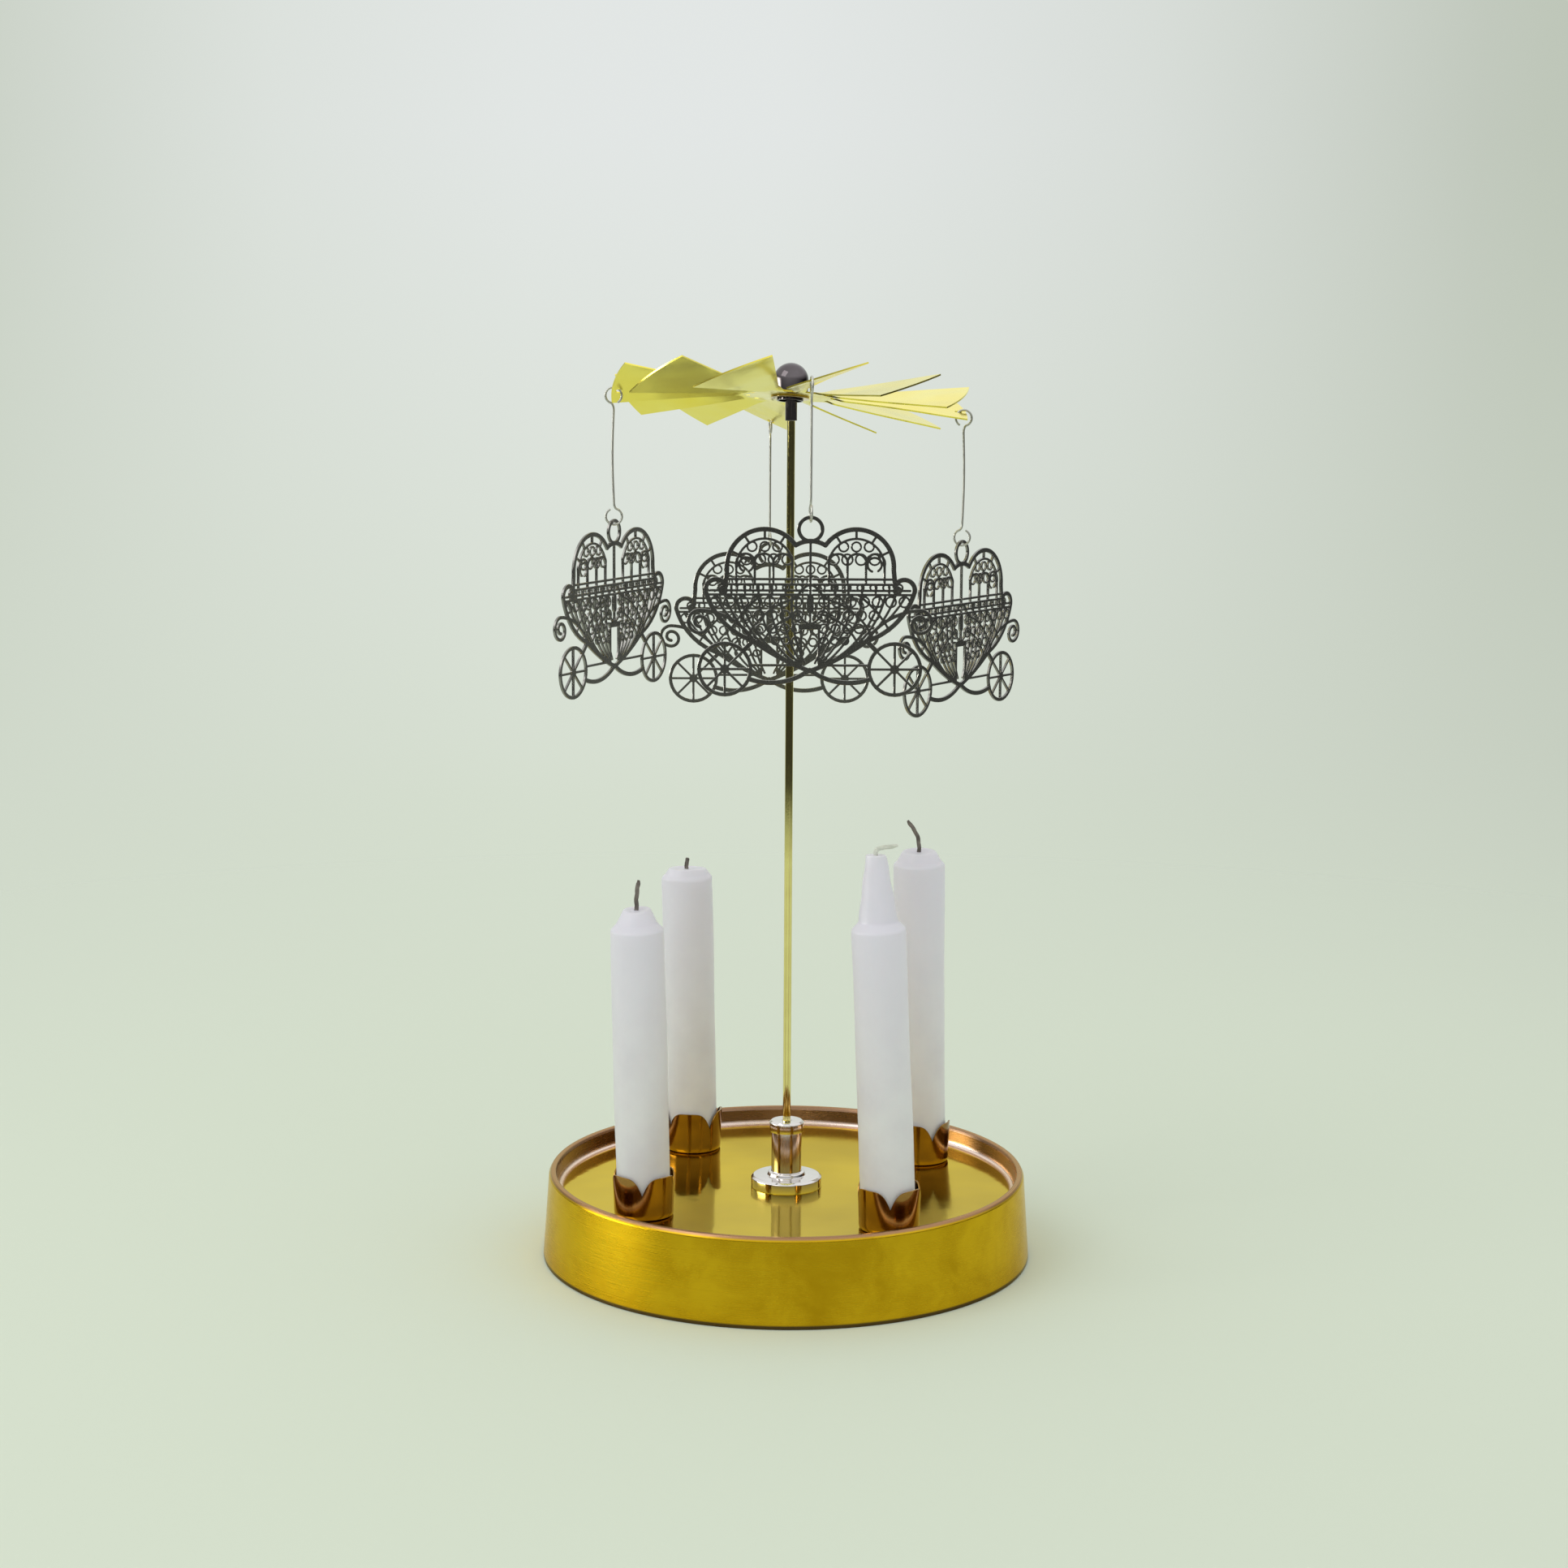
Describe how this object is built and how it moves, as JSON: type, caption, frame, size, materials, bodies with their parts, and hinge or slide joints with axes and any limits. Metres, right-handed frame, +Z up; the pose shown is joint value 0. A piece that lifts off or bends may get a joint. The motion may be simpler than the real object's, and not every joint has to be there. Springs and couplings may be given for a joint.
{
  "type": "candle carousel",
  "caption": "Round brass tray of candles in petal cups; a thin column holds a vaned rotor on a needle, which carries pierced coach charms on wire hangers.",
  "frame": {"origin": "centre of the tray's foot circle, on the table plane", "axes": "+Z up along the column and the longest extent; +X to the right and -Y to the viewer in the picture"},
  "size_m": [0.1128, 0.1128, 0.2072],
  "materials": {
    "tray_brass": "mirror polished brass plate",
    "cup_brass": "polished brass plate",
    "rivet_brass": "polished brass",
    "vane_brass": "bright thin brass sheet",
    "seat_brass": "turned brass",
    "lock_ring_brass": "polished brass",
    "fitting_nickel": "polished nickel plate",
    "cap_chrome": "polished chrome plate",
    "ferrule_nickel": "polished nickel plate",
    "column_brass": "drawn bright rod",
    "washer_steel": "plain steel",
    "screw_steel": "plain steel",
    "needle_steel": "ground steel",
    "hanger_steel": "bright wire",
    "charm_metal": "polished plated sheet, dark in reflection",
    "candle_wax": "translucent white wax",
    "wick_cotton": "charred cotton"
  },
  "bodies": {
    "base": {"tray_shell": "tray_brass", "rod_socket": "fitting_nickel", "socket_collar": "fitting_nickel", "base_washer": "washer_steel", "base_screw": "screw_steel", "column_rod": "column_brass", "needle_ferrule": "ferrule_nickel", "pivot_needle": "needle_steel", "cup_rivets": "rivet_brass", "candle_cup_right_rear": "cup_brass", "candle_cup_left_rear": "cup_brass", "candle_cup_left_front": "cup_brass", "candle_cup_right_front": "cup_brass"},
    "rotor": {"rotor_vanes": "vane_brass", "rotor_cap": "cap_chrome", "pivot_seat": "seat_brass", "cap_lock_ring": "lock_ring_brass"},
    "hanger_right": {"hanger_wire_right": "hanger_steel"},
    "charm_right": {"coach_charm_right": "charm_metal"},
    "hanger_rear": {"hanger_wire_rear": "hanger_steel"},
    "charm_rear": {"coach_charm_rear": "charm_metal"},
    "hanger_left": {"hanger_wire_left": "hanger_steel"},
    "charm_left": {"coach_charm_left": "charm_metal"},
    "hanger_front": {"hanger_wire_front": "hanger_steel"},
    "charm_front": {"coach_charm_front": "charm_metal"},
    "candle_right_rear": {"candle_right_rear": "candle_wax", "wick_right_rear": "wick_cotton"},
    "candle_left_rear": {"candle_left_rear": "candle_wax", "wick_left_rear": "wick_cotton"},
    "candle_left_front": {"candle_left_front": "candle_wax", "wick_left_front": "wick_cotton"},
    "candle_right_front": {"candle_right_front": "candle_wax", "wick_right_front": "wick_cotton"}
  },
  "joints": [
    {"name": "rotor_spin", "type": "hinge", "parent": "base", "child": "rotor", "pos_m": [0, 0, 0.2029], "axis": [0, 0, 1], "continuous": true},
    {"name": "hanger_swing_right", "type": "hinge", "parent": "rotor", "child": "hanger_right", "pos_m": [0.03885, 0.00227, 0.19396], "axis": [0.0779, -0.997, 0], "range_deg": [-8, 20]},
    {"name": "charm_turn_right", "type": "hinge", "parent": "hanger_right", "child": "charm_right", "pos_m": [0.03885, 0.00227, 0.1627], "axis": [0, 0, 1], "range_deg": [-4, 86]},
    {"name": "hanger_swing_rear", "type": "hinge", "parent": "rotor", "child": "hanger_rear", "pos_m": [-0.00389, 0.03782, 0.19069], "axis": [0.9956, 0.0937, 0], "range_deg": [-8, 20]},
    {"name": "charm_turn_rear", "type": "hinge", "parent": "hanger_rear", "child": "charm_rear", "pos_m": [-0.00389, 0.03782, 0.15943], "axis": [0, 0, 1], "range_deg": [-40, 50]},
    {"name": "hanger_swing_left", "type": "hinge", "parent": "rotor", "child": "hanger_left", "pos_m": [-0.03949, -0.00424, 0.19877], "axis": [-0.0875, 0.9962, 0], "range_deg": [-8, 20]},
    {"name": "charm_turn_left", "type": "hinge", "parent": "hanger_left", "child": "charm_left", "pos_m": [-0.03949, -0.00424, 0.16751], "axis": [0, 0, 1], "range_deg": [-12, 78]},
    {"name": "hanger_swing_front", "type": "hinge", "parent": "rotor", "child": "hanger_front", "pos_m": [0.00325, -0.03979, 0.20203], "axis": [-0.996, -0.0895, 0], "range_deg": [-8, 20]},
    {"name": "charm_turn_front", "type": "hinge", "parent": "hanger_front", "child": "charm_front", "pos_m": [0.00325, -0.03979, 0.17077], "axis": [0, 0, 1], "range_deg": [-40, 50]},
    {"name": "candle_lift_right_rear", "type": "slide", "parent": "base", "child": "candle_right_rear", "axis": [-0.0148, 0.0054, 0.9999], "range_m": [0, 0.015]},
    {"name": "candle_lift_left_rear", "type": "slide", "parent": "base", "child": "candle_left_rear", "axis": [-0.0226, -0.0024, 0.9997], "range_m": [0, 0.015]},
    {"name": "candle_lift_left_front", "type": "slide", "parent": "base", "child": "candle_left_front", "axis": [-0.0227, 0, 0.9997], "range_m": [0, 0.015]},
    {"name": "candle_lift_right_front", "type": "slide", "parent": "base", "child": "candle_right_front", "axis": [-0.0453, -0.0016, 0.999], "range_m": [0, 0.015]}
  ]
}
